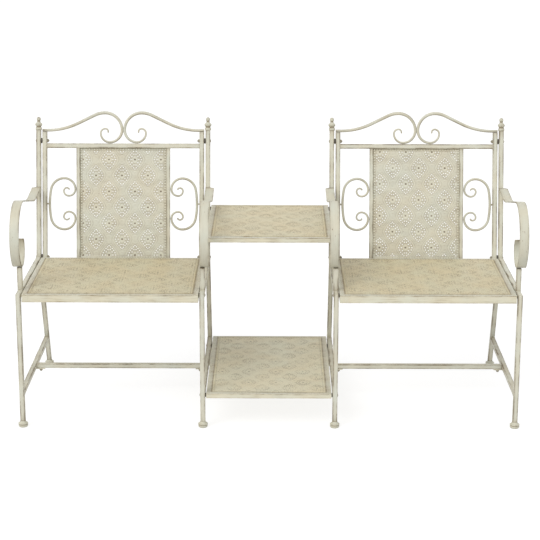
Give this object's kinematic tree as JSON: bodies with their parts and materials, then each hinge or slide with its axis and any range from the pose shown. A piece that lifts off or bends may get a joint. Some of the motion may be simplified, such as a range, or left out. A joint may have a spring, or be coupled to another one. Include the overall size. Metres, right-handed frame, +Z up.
{
  "type": "companion bench",
  "caption": "Metal companion bench: armchairs with scrolled arms and pierced sheet seats and backs, joined by a small table and a low shelf.",
  "frame": {"origin": "centre of the bounding box at floor level, under the middle of the table", "axes": "+X to the sitter's left along the row of seats, -Y to the front, +Z up"},
  "size_m": [1.647, 0.665, 0.9374],
  "materials": {
    "frame_paint": "aged cream paint over steel, satin, rubbed brown along the edges",
    "sheet_paint": "aged cream paint with a grey-brown wash in the pattern's hollows",
    "spacer_black": "dark steel washer stack, unpainted",
    "bolt_paint": "painted over, dulled"
  },
  "bodies": {
    "root": {"front_leg_left_outer": "frame_paint", "front_leg_left_inner": "frame_paint", "front_leg_right_inner": "frame_paint", "front_leg_right_outer": "frame_paint", "side_rail_left_outer": "frame_paint", "side_rail_left_inner": "frame_paint", "side_rail_right_inner": "frame_paint", "side_rail_right_outer": "frame_paint", "rear_post_left_outer": "frame_paint", "rear_post_left_inner": "frame_paint", "rear_post_right_inner": "frame_paint", "rear_post_right_outer": "frame_paint", "side_stretcher_left_outer": "frame_paint", "side_stretcher_left_inner": "frame_paint", "side_stretcher_right_inner": "frame_paint", "side_stretcher_right_outer": "frame_paint", "arm_strap_left_outer": "frame_paint", "arm_strap_left_inner": "frame_paint", "arm_strap_right_inner": "frame_paint", "arm_strap_right_outer": "frame_paint", "arm_support_left_outer": "frame_paint", "arm_support_left_inner": "frame_paint", "arm_support_right_inner": "frame_paint", "arm_support_right_outer": "frame_paint", "back_uprights_left": "frame_paint", "back_uprights_right": "frame_paint", "back_top_rail_left": "frame_paint", "back_top_rail_right": "frame_paint", "back_bottom_rail_left": "frame_paint", "back_bottom_rail_right": "frame_paint", "back_bars_left": "frame_paint", "back_bars_right": "frame_paint", "back_sheet_left": "sheet_paint", "back_sheet_right": "sheet_paint", "crest_scrolls_left": "frame_paint", "crest_scrolls_right": "frame_paint", "c_scrolls_left": "frame_paint", "c_scrolls_right": "frame_paint", "seat_frame_left": "frame_paint", "seat_frame_right": "frame_paint", "seat_sheet_left": "sheet_paint", "seat_sheet_right": "sheet_paint", "long_stretcher_left": "frame_paint", "long_stretcher_right": "frame_paint", "table_frame": "frame_paint", "shelf_frame": "frame_paint", "front_feet": "frame_paint", "rear_feet": "frame_paint", "finials": "frame_paint", "stretcher_tabs": "frame_paint", "table_sheet": "sheet_paint", "shelf_sheet": "sheet_paint", "spacers": "spacer_black", "back_bolts": "bolt_paint", "seat_bolts": "bolt_paint", "table_bolts": "bolt_paint", "stretcher_bolts": "bolt_paint"}
  },
  "joints": []
}
